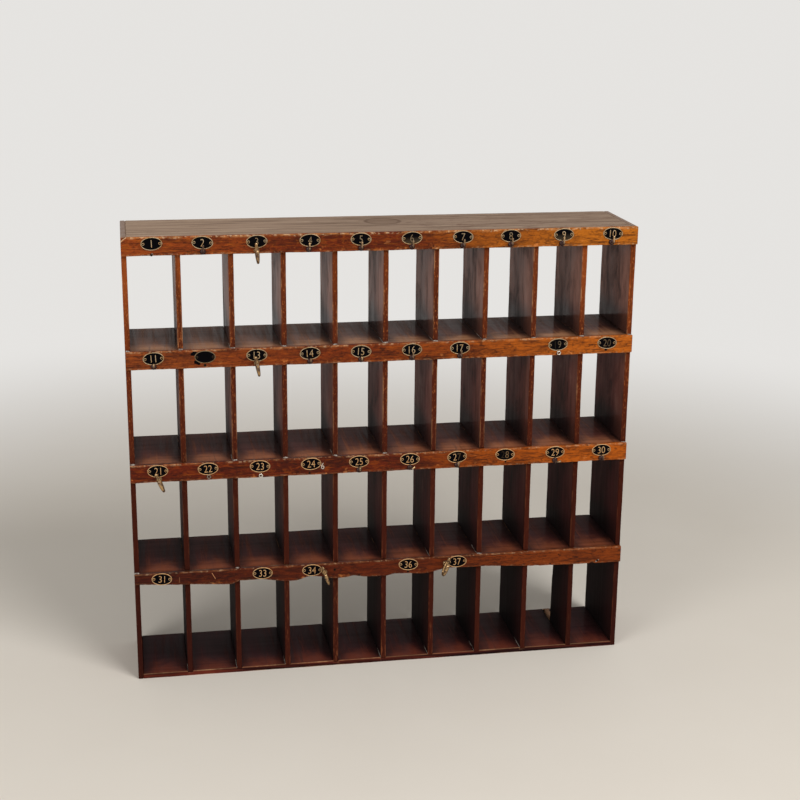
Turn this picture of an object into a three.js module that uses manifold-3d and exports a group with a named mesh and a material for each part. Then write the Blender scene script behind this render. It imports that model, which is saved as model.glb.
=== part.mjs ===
// Pigeonhole mail sorter: an open wooden rack of forty letter holes, with a planted rail along the
// front of each shelf and small brass hooks screwed into the rails. Millimetres, +Z up.
// The origin is the middle of the footprint on the floor and the open front faces -Y.
import * as THREE from 'three';
import { mergeVertices } from 'three/addons/utils/BufferGeometryUtils.js';
import Module from 'manifold-3d';

const wasm = await Module();
wasm.setup();

// Overall sizes of the rack
const WIDTH = 900;
const HEIGHT = 810;
const DEPTH = 172;
const COLUMNS = 10;

// Board thicknesses
const SIDE_BOARD = 9;
const END_BOARD = 9;
const SHELF_BOARD = 9;
const DIVIDER_BOARD = 9;

// The two middle rows are a little taller than the top and bottom rows
const MIDDLE_ROW_EXTRA = 6.5;

// Rails planted on the front edges
const RAIL_THICKNESS = 7;
const RAIL_HEIGHT = 32;
// The lowest rail has lost part of its lower edge towards the left end: what is left of its height
// on the level stretch, half-way up the slope and at the slope's end, and how far along each is
const WORN_RAIL_LEFT_HEIGHT = 19.5;
const WORN_RAIL_MIDDLE_HEIGHT = 25.5;
const WORN_RAIL_RIGHT_HEIGHT = 30;
const WORN_STRETCH_END = 153;
const WORN_SLOPE_MIDDLE = 229.5;
const WORN_SLOPE_END = 319.5;

// Joinery: shelves housed in the sides, dividers housed in the top and bottom, boards cross-halved
const HOUSING_DEPTH = 3;
const JOINT_CLEARANCE = 0.3;

// Hooks
const SHANK_RADIUS = 1.2;
const SHANK_DEPTH = 5;
const SHANK_CLEARANCE = 0.3;
const COLLAR_RADIUS = 5.2;
const COLLAR_THICKNESS = 4.6;
const COLLAR_RIM = 1.2;
const COLLAR_SHOULDER_RADIUS = 4.4;
const COLLAR_SHOULDER = 3;
const COLLAR_CROWN_RADIUS = 2.4;
const HOOK_DROP = 26.6;
const LONG_WIRE_RADIUS = 2.3;
const LONG_STANDOFF = 6;
const LONG_ARM_RISE = 12.5;
const LONG_ARM_LEAN = 4;
const LONG_DROP = 12.5;
const LONG_BEND_RADIUS = 7;
const LONG_TIP_RISE = 15;
const CUP_WIRE_RADIUS = 1.5;
const CUP_REACH = 5;
const CUP_BEND_RADIUS = 4.5;
const CUP_SAG = 1;
const CUP_TIP_RISE = 12;
const SHORT_CUP_TIP_RISE = 7;
const EYE_RING_RADIUS = 2.9;
const EYE_WIRE_RADIUS = 1;
const EYE_STEM_LENGTH = 3;
const TIP_SWELL = 1.25;

// Fineness of the round surfaces
const WIRE_SIDES = 8;
const LONG_PATH_STEPS = 18;
const CUP_PATH_STEPS = 10;
const ROUND_SIDES = 12;
const TIP_RINGS = 4;
const RING_STEPS = 16;

// Positions that follow from the sizes
const FRONT_Y = -DEPTH / 2;
const CARCASS_FRONT_Y = FRONT_Y + RAIL_THICKNESS;
const BACK_Y = DEPTH / 2;
const CARCASS_DEPTH = BACK_Y - CARCASS_FRONT_Y;
const LAP_Y = (CARCASS_FRONT_Y + BACK_Y) / 2;
const INNER_LEFT = -WIDTH / 2 + SIDE_BOARD;
const INNER_WIDTH = WIDTH - 2 * SIDE_BOARD;
const HOLE_WIDTH = (INNER_WIDTH - (COLUMNS - 1) * DIVIDER_BOARD) / COLUMNS;
const PITCH = HOLE_WIDTH + DIVIDER_BOARD;
const CLEAR_HEIGHT = HEIGHT - 2 * END_BOARD - 3 * SHELF_BOARD;
const OUTER_ROW = (CLEAR_HEIGHT - 2 * MIDDLE_ROW_EXTRA) / 4;
const MIDDLE_ROW = OUTER_ROW + MIDDLE_ROW_EXTRA;
const LOW_SHELF_TOP = END_BOARD + OUTER_ROW + SHELF_BOARD;
const MIDDLE_SHELF_TOP = LOW_SHELF_TOP + MIDDLE_ROW + SHELF_BOARD;
const HIGH_SHELF_TOP = MIDDLE_SHELF_TOP + MIDDLE_ROW + SHELF_BOARD;
const SHELF_TOPS = [LOW_SHELF_TOP, MIDDLE_SHELF_TOP, HIGH_SHELF_TOP];
const RAIL_TOPS = [HEIGHT, HIGH_SHELF_TOP, MIDDLE_SHELF_TOP, LOW_SHELF_TOP];

const darkWood = { color: 0x4a2c1c, roughness: 0.75, metalness: 0 };
const fadedWood = { color: 0x8a7460, roughness: 0.85, metalness: 0 };
const railWood = { color: 0x7a3d1e, roughness: 0.55, metalness: 0 };
const brightBrass = { color: 0xb09468, roughness: 0.4, metalness: 0.9 };
const agedBrass = { color: 0x5a4d3c, roughness: 0.5, metalness: 0.85 };

const rack = new THREE.Group();
rack.name = 'pigeonhole_mail_sorter';

// A named mesh of one geometry, with its own material
function addPiece(parent, name, geometry, look) {
  const mesh = new THREE.Mesh(geometry, new THREE.MeshStandardMaterial(look));
  mesh.name = name;
  parent.add(mesh);
  return mesh;
}

// A closed solid from a three.js geometry
function solid(geometry) {
  const plain = new THREE.BufferGeometry();
  const source = geometry.index ? geometry.toNonIndexed() : geometry;
  plain.setAttribute('position', source.getAttribute('position').clone());
  const merged = mergeVertices(plain, 1e-4);
  const triVerts = [];
  const index = merged.index.array;
  for (let i = 0; i < index.length; i += 3) {
    const a = index[i];
    const b = index[i + 1];
    const c = index[i + 2];
    if (a !== b && b !== c && c !== a) triVerts.push(a, b, c);
  }
  return new wasm.Manifold(new wasm.Mesh({
    numProp: 3,
    vertProperties: new Float32Array(merged.getAttribute('position').array),
    triVerts: new Uint32Array(triVerts),
  }));
}

// A three.js geometry from a closed solid
function geometryOf(body) {
  const mesh = body.getMesh();
  const geometry = new THREE.BufferGeometry();
  geometry.setAttribute('position', new THREE.Float32BufferAttribute(mesh.vertProperties, 3));
  geometry.setIndex(new THREE.Uint32BufferAttribute(mesh.triVerts, 1));
  geometry.computeVertexNormals();
  return geometry;
}

// Middle of a divider, counted from the left
function dividerX(i) {
  return INNER_LEFT + i * PITCH - DIVIDER_BOARD / 2;
}

// Middle of a column of holes, counted from the left, the first column being 1
function columnX(column) {
  return INNER_LEFT + (column - 1) * PITCH + HOLE_WIDTH / 2;
}

// An outline drawn in X and Z, thickened from front to back of the carcass
function throughDepth(outline) {
  const geometry = new THREE.ExtrudeGeometry(outline, { depth: CARCASS_DEPTH, bevelEnabled: false });
  geometry.rotateX(Math.PI / 2);
  geometry.translate(0, BACK_Y, 0);
  return geometry;
}

// Side: a full-height board with three housings cut across its inner face
function sideGeometry(inner, outer) {
  const inward = Math.sign(inner - outer);
  const outline = new THREE.Shape();
  outline.moveTo(outer, 0);
  outline.lineTo(inner, 0);
  for (const top of SHELF_TOPS) {
    const floor = top - SHELF_BOARD;
    const bottom = inner - inward * HOUSING_DEPTH;
    outline.lineTo(inner, floor);
    outline.lineTo(bottom, floor);
    outline.lineTo(bottom, top + JOINT_CLEARANCE);
    outline.lineTo(inner, top + JOINT_CLEARANCE);
  }
  outline.lineTo(inner, HEIGHT);
  outline.lineTo(outer, HEIGHT);
  outline.closePath();
  return throughDepth(outline);
}
addPiece(rack, 'left_side', sideGeometry(INNER_LEFT, -WIDTH / 2), darkWood);
addPiece(rack, 'right_side', sideGeometry(-INNER_LEFT, WIDTH / 2), darkWood);

// Top and bottom: boards between the sides, grooved on their inner face for the ends of the dividers
function endBoardGeometry(innerZ, outerZ) {
  const inward = Math.sign(innerZ - outerZ);
  const outline = new THREE.Shape();
  outline.moveTo(INNER_LEFT, outerZ);
  outline.lineTo(INNER_LEFT, innerZ);
  for (let i = 1; i < COLUMNS; i += 1) {
    const left = dividerX(i) - (DIVIDER_BOARD + JOINT_CLEARANCE) / 2;
    const right = dividerX(i) + (DIVIDER_BOARD + JOINT_CLEARANCE) / 2;
    outline.lineTo(left, innerZ);
    outline.lineTo(left, innerZ - inward * HOUSING_DEPTH);
    outline.lineTo(right, innerZ - inward * HOUSING_DEPTH);
    outline.lineTo(right, innerZ);
  }
  outline.lineTo(-INNER_LEFT, innerZ);
  outline.lineTo(-INNER_LEFT, outerZ);
  outline.closePath();
  return throughDepth(outline);
}
addPiece(rack, 'bottom_board', endBoardGeometry(END_BOARD, 0), darkWood);
addPiece(rack, 'top_board', endBoardGeometry(HEIGHT - END_BOARD, HEIGHT), fadedWood);

// Shelf: housed in both sides and slotted from its back edge to half its depth for every divider
function shelfGeometry(top) {
  const end = -INNER_LEFT + HOUSING_DEPTH - JOINT_CLEARANCE;
  const slotEnd = LAP_Y - JOINT_CLEARANCE / 2;
  const outline = new THREE.Shape();
  outline.moveTo(-end, CARCASS_FRONT_Y);
  outline.lineTo(end, CARCASS_FRONT_Y);
  outline.lineTo(end, BACK_Y);
  for (let i = COLUMNS - 1; i > 0; i -= 1) {
    const left = dividerX(i) - (DIVIDER_BOARD + JOINT_CLEARANCE) / 2;
    const right = dividerX(i) + (DIVIDER_BOARD + JOINT_CLEARANCE) / 2;
    outline.lineTo(right, BACK_Y);
    outline.lineTo(right, slotEnd);
    outline.lineTo(left, slotEnd);
    outline.lineTo(left, BACK_Y);
  }
  outline.lineTo(-end, BACK_Y);
  outline.closePath();
  const geometry = new THREE.ExtrudeGeometry(outline, { depth: SHELF_BOARD, bevelEnabled: false });
  geometry.translate(0, 0, top - SHELF_BOARD);
  return geometry;
}
addPiece(rack, 'shelf_high', shelfGeometry(HIGH_SHELF_TOP), fadedWood);
addPiece(rack, 'shelf_middle', shelfGeometry(MIDDLE_SHELF_TOP), darkWood);
addPiece(rack, 'shelf_low', shelfGeometry(LOW_SHELF_TOP), darkWood);

// Divider: one full-height board, slotted from its front edge to half its depth for every shelf
function dividerGeometry() {
  const foot = END_BOARD - HOUSING_DEPTH;
  const head = HEIGHT - END_BOARD + HOUSING_DEPTH - JOINT_CLEARANCE;
  const slotEnd = LAP_Y + JOINT_CLEARANCE / 2;
  const outline = new THREE.Shape();
  outline.moveTo(CARCASS_FRONT_Y, foot);
  for (const top of SHELF_TOPS) {
    outline.lineTo(CARCASS_FRONT_Y, top - SHELF_BOARD);
    outline.lineTo(slotEnd, top - SHELF_BOARD);
    outline.lineTo(slotEnd, top + JOINT_CLEARANCE);
    outline.lineTo(CARCASS_FRONT_Y, top + JOINT_CLEARANCE);
  }
  outline.lineTo(CARCASS_FRONT_Y, head);
  outline.lineTo(BACK_Y, head);
  outline.lineTo(BACK_Y, foot);
  outline.closePath();
  const geometry = new THREE.ExtrudeGeometry(outline, { depth: DIVIDER_BOARD, bevelEnabled: false });
  geometry.rotateX(Math.PI / 2);
  geometry.rotateZ(Math.PI / 2);
  geometry.translate(-DIVIDER_BOARD / 2, 0, 0);
  return geometry;
}
for (let i = 1; i < COLUMNS; i += 1) {
  const divider = addPiece(rack, `divider_${i}`, dividerGeometry(), darkWood);
  divider.position.x = dividerX(i);
}

// Where a hook's screw enters its rail: the row of the hole, its place across and its drop
const rowHoles = [[], [], [], []];

// A hole's number gives its row, counted from the top, and its column, counted from the left
function hookPlace(number, aside, drop) {
  const row = Math.floor((number - 1) / COLUMNS);
  const column = (number - 1) % COLUMNS + 1;
  const x = columnX(column) + aside;
  const z = RAIL_TOPS[row] - drop;
  rowHoles[row].push({ x, z });
  return { x, z };
}

// A round body about a hook's screw axis, its length running out of the rail
function turned(profile) {
  const geometry = new THREE.LatheGeometry(profile, ROUND_SIDES);
  geometry.rotateX(Math.PI);
  return solid(geometry);
}

// Screw shank and domed collar, turned in one piece
function shankAndCollar() {
  const profile = [
    new THREE.Vector2(0, -SHANK_DEPTH),
    new THREE.Vector2(SHANK_RADIUS, -SHANK_DEPTH + SHANK_RADIUS),
    new THREE.Vector2(SHANK_RADIUS, 0),
    new THREE.Vector2(COLLAR_RADIUS, 0),
    new THREE.Vector2(COLLAR_RADIUS, COLLAR_RIM),
    new THREE.Vector2(COLLAR_SHOULDER_RADIUS, COLLAR_SHOULDER),
    new THREE.Vector2(COLLAR_CROWN_RADIUS, COLLAR_THICKNESS),
    new THREE.Vector2(0, COLLAR_THICKNESS),
  ];
  return turned(profile);
}

// A round wire along a path, with a rounded tip at one end
function wire(path, radius, steps, tip) {
  const section = new THREE.Shape();
  section.absarc(0, 0, radius, 0, 2 * Math.PI, false);
  const tube = new THREE.ExtrudeGeometry(section, {
    steps,
    bevelEnabled: false,
    extrudePath: path,
    curveSegments: WIRE_SIDES / 2,
  });
  const ball = new THREE.SphereGeometry(radius * TIP_SWELL, WIRE_SIDES, TIP_RINGS);
  ball.translate(tip.x, tip.y, tip.z);
  return solid(tube).add(solid(ball));
}

// A point on a hook: how far out from the rail's face and how far up from the screw
function hookPoint(out, up) {
  return new THREE.Vector3(0, -out, up);
}

// Long hook: an arm standing up in front of the plate and a deep bend below, in one length of wire
function longHookGeometry() {
  const bendOut = LONG_STANDOFF + LONG_BEND_RADIUS;
  const slant = LONG_BEND_RADIUS * Math.SQRT1_2;
  const armTip = hookPoint(LONG_STANDOFF + LONG_ARM_LEAN, LONG_ARM_RISE);
  const bendTip = hookPoint(LONG_STANDOFF + 2 * LONG_BEND_RADIUS, LONG_TIP_RISE - LONG_DROP);
  const path = new THREE.CatmullRomCurve3([
    armTip,
    hookPoint(LONG_STANDOFF + LONG_ARM_LEAN / 4, LONG_ARM_RISE / 2),
    hookPoint(LONG_STANDOFF, 0),
    hookPoint(LONG_STANDOFF, -LONG_DROP),
    hookPoint(bendOut - slant, -LONG_DROP - slant),
    hookPoint(bendOut, -LONG_DROP - LONG_BEND_RADIUS),
    hookPoint(bendOut + slant, -LONG_DROP - slant),
    hookPoint(LONG_STANDOFF + 2 * LONG_BEND_RADIUS, -LONG_DROP),
    bendTip,
  ]);
  const arm = wire(path, LONG_WIRE_RADIUS, LONG_PATH_STEPS, armTip);
  const ball = new THREE.SphereGeometry(LONG_WIRE_RADIUS * TIP_SWELL, WIRE_SIDES, TIP_RINGS);
  ball.translate(bendTip.x, bendTip.y, bendTip.z);
  const root = new THREE.CylinderGeometry(LONG_WIRE_RADIUS, LONG_WIRE_RADIUS, LONG_STANDOFF, WIRE_SIDES);
  root.translate(0, -LONG_STANDOFF / 2, 0);
  return geometryOf(shankAndCollar().add(solid(root)).add(arm).add(solid(ball)));
}

// Cup hook: a wire that runs out of its collar, sags a little and bends up to a blunt tip
function cupHookGeometry(tipRise) {
  const bendOut = CUP_REACH + CUP_BEND_RADIUS;
  const bendUp = CUP_BEND_RADIUS - CUP_SAG;
  const slant = CUP_BEND_RADIUS * Math.SQRT1_2;
  const tip = hookPoint(bendOut + CUP_BEND_RADIUS, tipRise);
  const path = new THREE.CatmullRomCurve3([
    hookPoint(COLLAR_THICKNESS / 2, 0),
    hookPoint(CUP_REACH, -CUP_SAG / 2),
    hookPoint(bendOut, -CUP_SAG),
    hookPoint(bendOut + slant, bendUp - slant),
    hookPoint(bendOut + CUP_BEND_RADIUS, bendUp),
    tip,
  ]);
  return geometryOf(shankAndCollar().add(wire(path, CUP_WIRE_RADIUS, CUP_PATH_STEPS, tip)));
}

// Screw eye: a closed ring facing forward, hung from the end of a short stem
function screwEyeGeometry() {
  const profile = [
    new THREE.Vector2(0, -SHANK_DEPTH),
    new THREE.Vector2(SHANK_RADIUS, -SHANK_DEPTH + SHANK_RADIUS),
    new THREE.Vector2(SHANK_RADIUS, EYE_STEM_LENGTH),
    new THREE.Vector2(0, EYE_STEM_LENGTH),
  ];
  const section = [];
  for (let k = 0; k <= WIRE_SIDES; k += 1) {
    const turn = 2 * Math.PI * k / WIRE_SIDES;
    const across = EYE_RING_RADIUS + EYE_WIRE_RADIUS * Math.cos(turn);
    section.push(new THREE.Vector2(across, EYE_WIRE_RADIUS * Math.sin(turn)));
  }
  const ring = new THREE.LatheGeometry(section, RING_STEPS);
  ring.translate(0, EYE_WIRE_RADIUS - EYE_STEM_LENGTH, -EYE_RING_RADIUS);
  return geometryOf(turned(profile).add(solid(ring)));
}

// Puts a hook on its rail, turned about its screw so that its lower end swings to the right
function placeHook(name, geometry, place, swing, look) {
  const turn = new THREE.Group();
  turn.position.set(place.x, FRONT_Y, place.z);
  turn.rotation.y = THREE.MathUtils.degToRad(-swing);
  addPiece(turn, name, geometry, look);
  rack.add(turn);
}

function longHook(number, aside, drop, swing) {
  const name = `long_hook_${String(number).padStart(2, '0')}`;
  placeHook(name, longHookGeometry(), hookPlace(number, aside, drop), swing, brightBrass);
}

function cupHook(number, aside, tipRise, swing) {
  const name = `cup_hook_${String(number).padStart(2, '0')}`;
  placeHook(name, cupHookGeometry(tipRise), hookPlace(number, aside, HOOK_DROP), swing, agedBrass);
}

function screwEye(number, aside, drop, swing) {
  const name = `screw_eye_${String(number).padStart(2, '0')}`;
  placeHook(name, screwEyeGeometry(), hookPlace(number, aside, drop), swing, brightBrass);
}

// Top row of holes, numbered 1 to 10
cupHook(2, -2.4, CUP_TIP_RISE, 0);
longHook(3, -1.5, HOOK_DROP, 4);
cupHook(4, -1.5, CUP_TIP_RISE, 0);
cupHook(5, -0.7, CUP_TIP_RISE, 0);
cupHook(6, -1.1, CUP_TIP_RISE, 0);
cupHook(7, -0.4, CUP_TIP_RISE, 0);
cupHook(8, -4, CUP_TIP_RISE, 0);
cupHook(9, -0.6, CUP_TIP_RISE, 0);
cupHook(10, 0.7, CUP_TIP_RISE, 0);

// Second row, numbered 11 to 20
cupHook(11, -1.9, SHORT_CUP_TIP_RISE, 0);
longHook(13, -4.4, HOOK_DROP, 9);
cupHook(14, -0.6, SHORT_CUP_TIP_RISE, 0);
cupHook(15, -0.2, SHORT_CUP_TIP_RISE, 0);
cupHook(16, 1.3, CUP_TIP_RISE, 0);
cupHook(17, -1.5, CUP_TIP_RISE, 0);
screwEye(19, -1.1, 26.2, 60);

// Third row, numbered 21 to 30
longHook(21, 0.4, HOOK_DROP, 23);
screwEye(22, -2.3, 22.8, 0);
screwEye(23, -0.3, 25.6, 0);
cupHook(25, -3.2, SHORT_CUP_TIP_RISE, 0);
cupHook(26, 0.2, SHORT_CUP_TIP_RISE, -55);
cupHook(27, -2.6, SHORT_CUP_TIP_RISE, 0);
cupHook(29, 2.1, SHORT_CUP_TIP_RISE, -75);
cupHook(30, 1, SHORT_CUP_TIP_RISE, 0);

// Lowest row, numbered 31 to 40: two hooks beside their plates
longHook(34, 23, 16, 19);
longHook(37, -20, 12.8, -22);

// Rail outline in X and Z, hung from its top edge
function railOutline(top, worn) {
  const outline = new THREE.Shape();
  const left = -WIDTH / 2;
  outline.moveTo(left, top);
  if (worn) {
    outline.lineTo(left, top - WORN_RAIL_LEFT_HEIGHT);
    outline.lineTo(left + WORN_STRETCH_END, top - WORN_RAIL_LEFT_HEIGHT);
    outline.lineTo(left + WORN_SLOPE_MIDDLE, top - WORN_RAIL_MIDDLE_HEIGHT);
    outline.lineTo(left + WORN_SLOPE_END, top - WORN_RAIL_RIGHT_HEIGHT);
  } else {
    outline.lineTo(left, top - RAIL_HEIGHT);
  }
  outline.lineTo(-left, top - RAIL_HEIGHT);
  outline.lineTo(-left, top);
  outline.closePath();
  return outline;
}

// Rail: a planted strip, bored from its face for the shanks of its hooks
function railGeometry(top, holes, worn) {
  const strip = new THREE.ExtrudeGeometry(railOutline(top, worn), {
    depth: RAIL_THICKNESS,
    bevelEnabled: false,
  });
  strip.rotateX(Math.PI / 2);
  strip.translate(0, CARCASS_FRONT_Y, 0);
  let body = solid(strip);
  const boreDepth = SHANK_DEPTH + SHANK_CLEARANCE;
  const boreRadius = SHANK_RADIUS + SHANK_CLEARANCE;
  for (const hole of holes) {
    const bore = new THREE.CylinderGeometry(boreRadius, boreRadius, 2 * boreDepth, ROUND_SIDES);
    bore.translate(hole.x, FRONT_Y, hole.z);
    body = body.subtract(solid(bore));
  }
  return geometryOf(body);
}
addPiece(rack, 'rail_1', railGeometry(RAIL_TOPS[0], rowHoles[0], false), railWood);
addPiece(rack, 'rail_2', railGeometry(RAIL_TOPS[1], rowHoles[1], false), railWood);
addPiece(rack, 'rail_3', railGeometry(RAIL_TOPS[2], rowHoles[2], false), railWood);
addPiece(rack, 'rail_4', railGeometry(RAIL_TOPS[3], rowHoles[3], true), railWood);

export default rack;
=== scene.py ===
import math

import bmesh
import bpy
import numpy as np
from mathutils import Matrix, Vector


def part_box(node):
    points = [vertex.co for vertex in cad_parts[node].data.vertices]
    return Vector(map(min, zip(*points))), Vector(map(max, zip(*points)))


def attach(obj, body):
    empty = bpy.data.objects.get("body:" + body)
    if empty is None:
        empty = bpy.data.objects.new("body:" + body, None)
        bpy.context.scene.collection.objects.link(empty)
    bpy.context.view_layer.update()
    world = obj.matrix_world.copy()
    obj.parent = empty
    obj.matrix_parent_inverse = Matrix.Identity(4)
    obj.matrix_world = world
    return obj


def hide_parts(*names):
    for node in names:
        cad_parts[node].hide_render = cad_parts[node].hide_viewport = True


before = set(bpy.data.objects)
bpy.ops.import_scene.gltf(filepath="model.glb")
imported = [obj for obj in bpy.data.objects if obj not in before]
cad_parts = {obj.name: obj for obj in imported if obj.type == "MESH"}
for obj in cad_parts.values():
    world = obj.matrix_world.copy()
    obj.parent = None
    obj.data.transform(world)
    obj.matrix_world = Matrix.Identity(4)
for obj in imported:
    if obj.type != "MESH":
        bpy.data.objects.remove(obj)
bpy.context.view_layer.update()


# Sides: two full-height boards of old stained softwood, standing on the floor.
# The shelf ends are let into housings across their inner faces; the grain runs upright.
# The front edge is rubbed to a warm brown, and the varnish of the inner faces still mirrors a little.

class Socket:
    """A socket in a material; sums and products of sockets add Math nodes, node() adds any other."""

    def __init__(self, tree, socket):
        self.tree = tree
        self.socket = socket

    def node(self, kind, settings=None, sockets=None, out=0):
        made = self.tree.nodes.new(kind)
        for key, value in (settings or {}).items():
            setattr(made, key, value)
        feed(made, sockets or {})
        return Socket(self.tree, made.outputs[out])

    def math(self, operation, other=0.0):
        return self.node("ShaderNodeMath", {"operation": operation}, {0: self, 1: other})

    def __add__(self, other):
        return self.math("ADD", other)

    def __mul__(self, other):
        return self.math("MULTIPLY", other)

    def __sub__(self, other):
        return self.math("SUBTRACT", other)

    def __rsub__(self, other):
        return self.node("ShaderNodeMath", {"operation": "SUBTRACT"}, {0: other, 1: self})

    __radd__ = __add__
    __rmul__ = __mul__

    def step(self, low, high):
        """0 below low and 1 above high, smooth between; falls instead of rises where low is above high."""
        if low > high:
            return 1 - self.step(high, low)
        return self.node("ShaderNodeMapRange", {"interpolation_type": "SMOOTHSTEP"},
                         {"Value": self, "From Min": low, "From Max": high})

    def mix(self, first, second):
        """Colour that goes from first to second, each a socket or a picture colour, with this value."""
        first, second = (shade if isinstance(shade, Socket) else colour(*shade) for shade in (first, second))
        return self.node("ShaderNodeMix", {"data_type": "RGBA"}, {0: self, 6: first, 7: second}, 2)

    def stain(self, value, low, high, shade, share=1.0):
        """This colour, gone over to shade by the given share as value steps from low to high."""
        return (value.step(low, high) * share).mix(self, shade)

    def noise(self, stretch, scale, detail=3.0, rough=0.55, twist=0.0):
        """Cloudy values between 0 and 1 on this place, squeezed by stretch along X, Y and Z."""
        squeezed = self.node("ShaderNodeMapping", None, {"Vector": self, "Scale": stretch})
        return self.node("ShaderNodeTexNoise", None,
                         {"Vector": squeezed, "Scale": scale, "Detail": detail, "Roughness": rough,
                          "Distortion": twist})

    def mark(self, name):
        """The value that the mesh carries under this name at each of its points."""
        return self.node("ShaderNodeAttribute", {"attribute_name": name}, None, 2)

    def shifted(self, *by):
        """This place moved along X, Y and Z, so that no two boards share their grain."""
        return self.node("ShaderNodeVectorMath", {"operation": "ADD"}, {0: self, 1: by})

    def axes(self):
        """The X, the Y and the Z of this place."""
        split = self.node("ShaderNodeSeparateXYZ", None, {0: self}).socket.node
        return [Socket(self.tree, part) for part in split.outputs]


def colour(red, green, blue):
    """A picture colour from 0 to 255, made linear."""
    share = np.array([red, green, blue]) / 255
    linear = np.where(share < 0.04045, share / 12.92, ((share + 0.055) / 1.055) ** 2.4)
    return (*linear.tolist(), 1.0)


def feed(node, sockets):
    """Sets sockets of a node to constants, or joins varying values to them."""
    for key, value in sockets.items():
        if isinstance(value, Socket):
            value.tree.links.new(value.socket, node.inputs[key])
        else:
            node.inputs[key].default_value = value


def new_material(name):
    material = bpy.data.materials.new(name)
    material.use_nodes = True
    tree = material.node_tree
    return material, Socket(tree, tree.nodes.new("ShaderNodeTexCoord").outputs["Object"])


def finished(material, looks, relief=None, strength=0.35, depth=0.0006):
    """The material with the sockets of its shader set, and with a fine relief."""
    if relief:
        bump = {"Strength": strength, "Distance": depth, "Height": relief}
        looks["Normal"] = relief.node("ShaderNodeBump", None, bump)
    feed(material.node_tree.nodes["Principled BSDF"], looks)
    return material


def add_object(name, data):
    made = bpy.data.objects.new(name, data)
    bpy.context.scene.collection.objects.link(made)
    return made


def put_piece(name, surface, material, nodes=(), body="rack", smooth=False):
    """A mesh object from a surface's points, faces and marks, which become point attributes; it rides on the
    given body, and the parts of the given nodes are hidden."""
    points, faces, marks = surface
    mesh = bpy.data.meshes.new(name)
    mesh.from_pydata(points.tolist(), [], faces)
    for key, values in marks.items():
        made = mesh.attributes.new(key, "FLOAT", "POINT")
        made.data.foreach_set("value", np.asarray(values, float))
    mesh.polygons.foreach_set("use_smooth", np.full(len(mesh.polygons), smooth))
    mesh.materials.append(material)
    mesh.validate()
    mesh.update()
    piece = add_object(name, mesh)
    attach(piece, body)
    if nodes:
        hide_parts(*nodes)


def waver(along, seed):
    """Slow irregular values about 0: three sines of unrelated lengths added up."""
    phase = seed * np.array([1.7, 2.9, 4.3])
    lengths = np.array([0.113, 0.041, 0.0173])
    weights = np.array([0.5, 0.3, 0.2])
    return (weights * np.sin(2 * np.pi * along[:, None] / lengths + phase)).sum(1)


def refined(outline, gap, corner):
    """Closed outline with points at most gap apart; each outward corner is cut by a short slant."""
    before = np.roll(outline, 1, 0)
    after = np.roll(outline, -1, 0)
    turn = np.cross(outline - before, after - outline)
    rounded = []
    for here, *beside, left_turn in zip(outline, before, after, turn):
        if left_turn > 0:
            rounded += [here + (other - here) * (corner / np.linalg.norm(other - here)) for other in beside]
        else:
            rounded.append(here)
    rounded = np.array(rounded)
    ends = np.roll(rounded, -1, 0)
    counts = np.maximum(1, np.ceil(np.linalg.norm(ends - rounded, axis=1) / gap).astype(int))
    start = np.repeat(np.arange(len(rounded)), counts)
    share = np.concatenate([np.arange(count) / count for count in counts])[:, None]
    return rounded[start] * (1 - share) + ends[start] * share


def closed_grid(u, v, w, capped=True):
    """Points and faces of a surface whose rows are rings: quads join each ring to the next. A face covers
    the first ring and the last, or else the last one joins the first."""
    grid = np.stack(np.broadcast_arrays(u, v, w), -1)
    rows, columns = grid.shape[:2]
    index = np.arange(rows * columns).reshape(rows, columns)
    beside = np.roll(index, -1, 1)
    quads = np.stack([index, beside, np.roll(beside, -1, 0), np.roll(index, -1, 0)], -1)
    caps = []
    if capped:
        quads = quads[:-1]
        caps = [index[0, ::-1].tolist(), index[-1].tolist()]
    return grid.reshape(-1, 3), quads.reshape(-1, 4).tolist() + caps


def eased_board(outline, low, high, order, ease, seed):
    """A flat board: an outline carried from low to high along the third axis. Near both faces each loop
    is drawn in along the mitred normals, by an ease that wavers along the edge, so the arrises are worn.
    order says which of X, Y, Z the outline's two axes and the third axis are."""
    if np.cross(outline, np.roll(outline, -1, 0)).sum() < 0:
        outline = outline[::-1]
    loop = refined(outline, EDGE_GAP, CORNER_CUT)
    forward = np.roll(loop, -1, 0) - loop
    forward /= np.linalg.norm(forward, axis=1)[:, None]
    normal = np.stack([-forward[:, 1], forward[:, 0]], 1)
    both = normal + np.roll(normal, 1, 0)
    mitre = both / np.maximum((both * both).sum(1) / 2, 0.4)[:, None]
    run = np.cumsum(np.linalg.norm(np.roll(loop, -1, 0) - loop, axis=1))
    worn = ease * np.clip(1 + 1.1 * waver(run, seed), 0.35, 2.4)
    none = worn * 0
    insets = [none + FACE_BAND, worn, 0.3 * worn, none, none]
    depths = [none, none, 0.3 * worn, worn, none + FACE_BAND]
    drawn_in = [loop + mitre * inset[:, None] for inset in insets]
    near = [np.column_stack([ring, low + depth]) for ring, depth in zip(drawn_in, depths)]
    far = [np.column_stack([ring, high - depth]) for ring, depth in zip(drawn_in, depths)]
    points, faces = closed_grid(*np.moveaxis(near + far[::-1], -1, 0))
    if np.linalg.det(np.eye(3)[list(order)]) < 0:
        faces = [face[::-1] for face in faces]
    rub = np.array([0, 1, 1, 1, 0, 0, 1, 1, 1, 0])
    return points[:, np.argsort(order)], faces, {"wear": np.repeat(rub, len(loop))}


def corners(node):
    return [np.array(corner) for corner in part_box(node)]


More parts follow.
